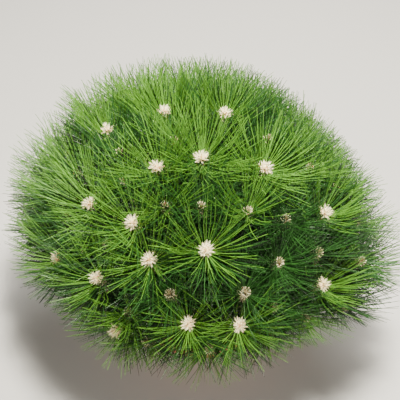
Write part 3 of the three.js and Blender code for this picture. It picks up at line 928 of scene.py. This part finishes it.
def grow_leading(shoot, own, foot):
    """The stem, needles, sheaths and buds at the end of a leading shoot."""
    curve = [foot, shoot["tip"] - shoot["end"] * SHOOT_BEND, shoot["tip"] + shoot["end"] * SHOOT_PAST]
    limbs["shoots"].append(tube(bezier(curve, 9), tapered(*SHOOT_RADII), 8))
    vigour = WEAKER if between(shoot) else 1.0
    tones = tones_of(shoot, own)
    pairs = int(PAIRS["leading"] * vigour)
    narrow = shoot["name"] in NARROW_SHOOTS
    lean = LEANS["narrow"] if narrow else (LEAN_LEAST, draws.uniform(*LEAN_MOST))
    length = NEEDLE_LENGTH * vigour
    spray, held = needles_of(shoot["end"], shoot["tip"], pairs, RUNS["leading"], lean, length, TIP_CROWDING)
    limit = draws.uniform(*LIMITS["unseen" if shoot["name"] == "unseen" else "seen"])
    deal(spray, tones, limit)
    sheaths.append(held)
    start = shoot["tip"] + shoot["end"] * OLD_SHEATHS["from"]
    count = OLD_SHEATHS["count"]
    withered = spiral(unit(shoot["tip"] - foot), start, count, OLD_SHEATHS["long"], OLD_SHEATHS["lean"],
                      OLD_SHEATHS["stand"])
    old_sheaths.append([*withered[:3], draws.uniform(*OLD_SHEATHS["size"], count)])
    (bright_buds if shoot["size"] >= 1 else resting_buds).append(shoot)


def spray_of(kind, axis, tip):
    """The needles of a lesser kind of shoot, without their sheaths."""
    return needles_of(axis, tip, PAIRS[kind], RUNS[kind], LEANS[kind], SHARES[kind] * NEEDLE_LENGTH)[0]


def grow_old(shoot, own, line):
    """Old needles down the twig behind a leading shoot, in the deep tone: partly the darker green of old
    needles, partly painted shade inside the crown.
    """
    low = own < OLD_LOW_MASSES
    tones = ["straw"] if low and draws.random() < OLD_STRAW_CHANCE and behind(shoot) else ["deep"]
    axis = unit(line[-1] - line[6])
    deal(spray_of("old", axis, line[-1]), tones, LIMITS["old"])


def grow_side(side):
    """The twig and needles of a side shoot, in darker tones that are painted shade under the leading shoot's
    needles.
    """
    foot = side["tip"] - side["axis"] * SIDE_STEM
    line = bezier([side["fork"], foot - side["axis"] * SIDE_BEND, foot, side["tip"]], 9)
    limbs["twigs"].append(tube(line, tapered(*SIDE_RADII), 5))
    tones = ["mid", "deep"] if draws.random() < SIDE_MID_CHANCE else ["deep"]
    deal(spray_of("side", side["axis"], side["tip"]), tones, LIMITS["side"])


bough_lines = [bough_controls(own) for own in range(MASSES - 1)]
for own, controls in enumerate([*bough_lines, trunk_controls]):
    end = np.asarray(controls[-1])
    way = unit(end - controls[-2])
    stem = [end + way * CLEAR, end + way * (CLEAR + STEM_LENGTH)]
    limbs["twigs"].append(tube(np.linspace(stem[0], stem[1], 5), tapered(*STEM_RADII), 10))
    for i, shoot in enumerate(shoots_of[own]):
        line = bezier(twig_controls(shoot, stem, i / len(shoots_of[own])), TWIG_STEPS)
        limbs["twigs"].append(tube(line, tapered(*TWIG_RADII), 7))
        grow_leading(shoot, own, line[-1] - shoot["axis"])
        grow_old(shoot, own, line)
        for side in side_shoots(shoot, line, i + own):
            grow_side(side)

foliage_nodes = [f"foliage_{order + 1:02d}" for order in range(MASSES)]
GROWING = needle_tree()
SCATTERING = scatter_tree()
for tone, sprays in needles.items():
    roots, along, bows, share = [np.concatenate(values) for values in zip(*sprays)]
    groups = np.array_split(np.arange(len(roots)), math.ceil(len(roots) / MOST_NEEDLES))
    for count, held in enumerate(groups):
        values = {"along": along[held], "bow": bows[held], "share": share[held]}
        mesh = grown(GROWING, points_mesh("needle roots", roots[held], **values), Rings=NEEDLE_RINGS,
                     Length=NEEDLE_LENGTH * MM, Width=NEEDLE_WIDTH * MM, Bow=NEEDLE_BOW * MM,
                     Material=NEEDLE_TONES[tone])
        piece_from(f"needles_{tone}_{count + 1}", mesh, foliage_nodes)


def all_of(places):
    return [np.concatenate(values) for values in zip(*places)]


bright = all_of([bud_cluster(shoot, BUDS["bright"]) for shoot in bright_buds])
resting = all_of([bud_cluster(shoot, BUDS["resting"]) for shoot in resting_buds])
for name, shape, places, material in (
    ("needle_sheaths", sheath(), all_of(sheaths), SHEATHS),
    ("old_sheaths", old_sheath(), all_of(old_sheaths), WITHERED),
    ("bud_cores", bud_core(), bright, BUD_CORES),
    ("bud_scales", bud_scales(), bright, BUD_SCALES),
    ("resting_bud_cores", bud_core(), resting, RESTING_CORES),
    ("resting_bud_scales", bud_scales(), resting, RESTING_SCALES),
):
    scattered(name, shape, places, foliage_nodes, material)
piece_from("twigs", mesh_from("twigs", *joined(limbs["twigs"])), foliage_nodes, TWIG_BARK)
piece_from("shoot_stems", mesh_from("shoots", *joined(limbs["shoots"])), foliage_nodes, GREEN_WOOD)


# Trunk and boughs


def trunk_radius(share, around):
    height = share * trunk_height
    flare = TRUNK["flare"] * math.exp(-height / TRUNK["flare_height"])
    lobes = 1 + TRUNK["lobe_depth"] * np.cos(TRUNK["lobes"] * around)
    return TRUNK["base"] + (TRUNK["tip"] - TRUNK["base"]) * share + flare * lobes


trunk_shape = tube(bezier(trunk_controls, 120), trunk_radius, 64, plate=6.0, depth=1.3)
piece_from("trunk_bark", mesh_from("trunk", *trunk_shape), ["trunk"], BARK)

bough_parts = []
for order, controls in enumerate(bough_lines):
    root_radius = BOUGH["low_radius"] + (BOUGH["high_radius"] - BOUGH["low_radius"]) * order / (MASSES - 2)
    radius = tapered(root_radius, BOUGH["tip_radius"])
    bough_parts.append(tube(bezier(controls, 70), radius, 22, plate=4.0, depth=0.9))
bough_nodes = [f"bough_{order + 1:02d}" for order in range(MASSES - 1)]
piece_from("bough_bark", mesh_from("boughs", *joined(bough_parts)), bough_nodes, BARK)


# Pot and potting mix


def inner_radius(height):
    foot = FOOT_RADIUS - WALL + POT_CORNER
    return foot + (RIM_RADIUS - BAND_PROUD - WALL - foot) * (height - FLOOR) / (POT_HEIGHT - FLOOR)


def rounded(profile, radius, steps):
    """A closed outline with each corner rounded off."""
    smooth = []
    for before, corner, after in zip(np.roll(profile, 1, axis=0), profile, np.roll(profile, -1, axis=0)):
        back, on = before - corner, after - corner
        start = corner + back * min(radius / np.linalg.norm(back), 0.45)
        end = corner + on * min(radius / np.linalg.norm(on), 0.45)
        smooth += [bezier_point([start, corner, end], t) for t in np.linspace(0, 1, steps)]
    return np.array(smooth)


def lathed(outline, sides):
    """Points and faces of a ring whose section is a closed outline of radii and heights."""
    around = np.arange(sides) * 2 * math.pi / sides
    count = len(outline)
    points = []
    for angle in around:
        points += [[radius * math.cos(angle), radius * math.sin(angle), height] for radius, height in outline]
    faces = []
    for i in range(sides):
        j = (i + 1) % sides
        for k in range(count):
            m = (k + 1) % count
            faces.append([i * count + k, j * count + k, j * count + m, i * count + m])
    return np.array(points), faces


band_foot = POT_HEIGHT - BAND_HEIGHT
body_radius = RIM_RADIUS - BAND_PROUD
pot_outline = rounded(np.array([
    [DRAIN_RADIUS, 0],
    [FOOT_RADIUS - POT_EDGE, 0],
    [FOOT_RADIUS, POT_EDGE],
    [body_radius - 2 * BAND_DRAFT, band_foot],
    [RIM_RADIUS - BAND_DRAFT, band_foot + BAND_DRAFT],
    [RIM_RADIUS, POT_HEIGHT - POT_EDGE],
    [RIM_RADIUS - POT_EDGE, POT_HEIGHT],
    [inner_radius(POT_HEIGHT) + POT_CORNER, POT_HEIGHT],
    [inner_radius(POT_HEIGHT - POT_EDGE), POT_HEIGHT - POT_EDGE],
    [inner_radius(FLOOR + POT_CORNER), FLOOR + POT_CORNER],
    [inner_radius(FLOOR) - POT_CORNER, FLOOR],
    [DRAIN_RADIUS, FLOOR],
]), EDGE_ROUND, 4)
pot_mesh = mesh_from("pot", *lathed(pot_outline, POT_SIDES))
piece_from("terracotta_pot", pot_mesh, ["clay_pot"], clay_material())


def mix_body():
    """The mix as a closed, lumpy body that fills the pot."""
    rings = 22
    dip = 1.5
    rim = inner_radius(MIX_TOP) - MIX_GAP
    outline = [[inner_radius(FLOOR) - POT_CORNER - MIX_GAP, FLOOR + CLEAR],
               [inner_radius(FLOOR + POT_CORNER) - MIX_GAP, FLOOR + CLEAR + POT_CORNER],
               [rim, MIX_TOP - 2 * dip]]
    outline += [[rim * (1 - k / rings) ** 0.9, MIX_TOP - dip] for k in range(1, rings)]
    around = np.arange(POT_SIDES) * 2 * math.pi / POT_SIDES
    points = []
    for row, (radius, height) in enumerate(outline):
        for a in around:
            place = Vector((radius * math.cos(a), radius * math.sin(a), height))
            lump = LUMP_HEIGHT * noise.noise(place / LUMP_SIZE) if row > 2 else 0.0
            points.append([place.x, place.y, place.z + lump])
    faces = []
    for row in range(len(outline) - 1):
        for i in range(POT_SIDES):
            j = (i + 1) % POT_SIDES
            low, high = row * POT_SIDES, (row + 1) * POT_SIDES
            faces.append([low + i, low + j, high + j, high + i])
    foot, top = len(points), len(points) + 1
    points += [[0, 0, FLOOR + CLEAR], [0, 0, MIX_TOP - dip]]
    last = (len(outline) - 1) * POT_SIDES
    faces += [[foot, (i + 1) % POT_SIDES, i] for i in range(POT_SIDES)]
    faces += [[top, last + i, last + (i + 1) % POT_SIDES] for i in range(POT_SIDES)]
    return np.array(points), faces


def chip(length, width, thickness):
    """A rough flat chip of bark with broken edges."""
    corners = 7
    around = np.arange(corners) * 2 * math.pi / corners
    ragged = 1 + 0.22 * np.sin(3 * around + 0.7)
    rim = np.stack([np.cos(around) * ragged * length / 2, np.sin(around) * ragged * width / 2], axis=1)
    low = np.column_stack([rim * 0.86, np.full(corners, -thickness / 2)])
    high = np.column_stack([rim, thickness / 2 + 0.3 * thickness * np.cos(2 * around)])
    points = np.concatenate([low, high, [[0, 0, -thickness / 2], [0, 0, 0.7 * thickness]]])
    faces = []
    for i in range(corners):
        j = (i + 1) % corners
        faces.append([i, j, corners + j, corners + i])
        faces.append([2 * corners, j, i])
        faces.append([2 * corners + 1, corners + i, corners + j])
    return points, faces


def strewn(count, size):
    """Places all over the mix, level within a few degrees, clear of the pot's wall and the trunk's foot."""
    wall = inner_radius(MIX_TOP) - MIX_GAP - 0.8 * size
    inner = TRUNK["base"] + TRUNK["flare"] + 0.8 * size
    radius = np.sqrt(draws.uniform(inner ** 2, wall ** 2, count))
    around = draws.uniform(0, 2 * math.pi, count)
    height = MIX_TOP + draws.uniform(-1.6, 0.8, count)
    roots = np.column_stack([radius * np.cos(around), radius * np.sin(around), height])
    along = unit(UP + draws.normal(0, 0.22, (count, 3)))
    return [roots, along, unit(draws.normal(0, 1, (count, 3))), draws.uniform(0.5, 1.1, count)]


COMPOST = mix_material("composted bark", "#3b2a20")
piece_from("mix_body", mesh_from("mix", *mix_body()), ["potting_mix"], COMPOST)
for name, stuff, colour, count, size in (
    ("mix_chips_brown", "weathered bark chips", "#5b3d2b", 1500, (8.0, 5.0, 1.6)),
    ("mix_chips_tan", "fresh bark chips", "#7d5b3e", 500, (7.0, 3.6, 1.4)),
    ("mix_grit", "crushed granite grit", "#b9b2a4", 160, (2.8, 2.4, 2.0)),
):
    places = strewn(count, size[0])
    scattered(name, chip(*size), places, ["potting_mix"], mix_material(stuff, colour))


# Floor, light and camera

floor_corners = np.array([[-4000, -4000, 0], [4000, -4000, 0], [4000, 4000, 0], [-4000, 4000, 0]])
floor_mesh = mesh_from("floor", floor_corners, [[0, 1, 2, 3]])
floor_mesh.materials.append(new_material("matt floor paint", "#aba9a4", 0.8)[0])
floor = bpy.data.objects.new("floor", floor_mesh)
bpy.context.scene.collection.objects.link(floor)


def aimed(made, place, aim):
    """Puts a lamp or camera at a place and turns it to its aim."""
    bpy.context.scene.collection.objects.link(made)
    made.location = np.array(place) * MM
    made.rotation_euler = Vector(np.array(aim) - np.array(place)).to_track_quat("-Z", "Y").to_euler()


def area_light(name, place, size, power, colour):
    """A round soft light aimed at the crown."""
    data = bpy.data.lights.new(name, "AREA")
    data.shape = "DISK"
    data.size = size * MM
    data.energy = power
    data.color = linear(colour)[:3]
    aimed(bpy.data.objects.new(name, data), place, HEART)


area_light("key", (170, -150, 2100), 400, 214, "#fffaee")
area_light("front", (0, -1700, 700), 900, 34, "#fffaf2")
area_light("back", (200, 1500, 1400), 900, 46, "#fffcf6")

world = bpy.data.worlds.new("studio")
bpy.context.scene.world = world
world.use_nodes = True
world.node_tree.nodes["Background"].inputs["Color"].default_value = linear("#e8ecf2")
world.node_tree.nodes["Background"].inputs["Strength"].default_value = 0.04

camera_data = bpy.data.cameras.new("camera")
camera_data.lens = CAMERA_LENS
camera_data.sensor_width = 36.0
camera = bpy.data.objects.new("camera", camera_data)
aimed(camera, CAMERA_AIM + TOWARDS_CAMERA * CAMERA_DISTANCE, CAMERA_AIM)
bpy.context.scene.camera = camera
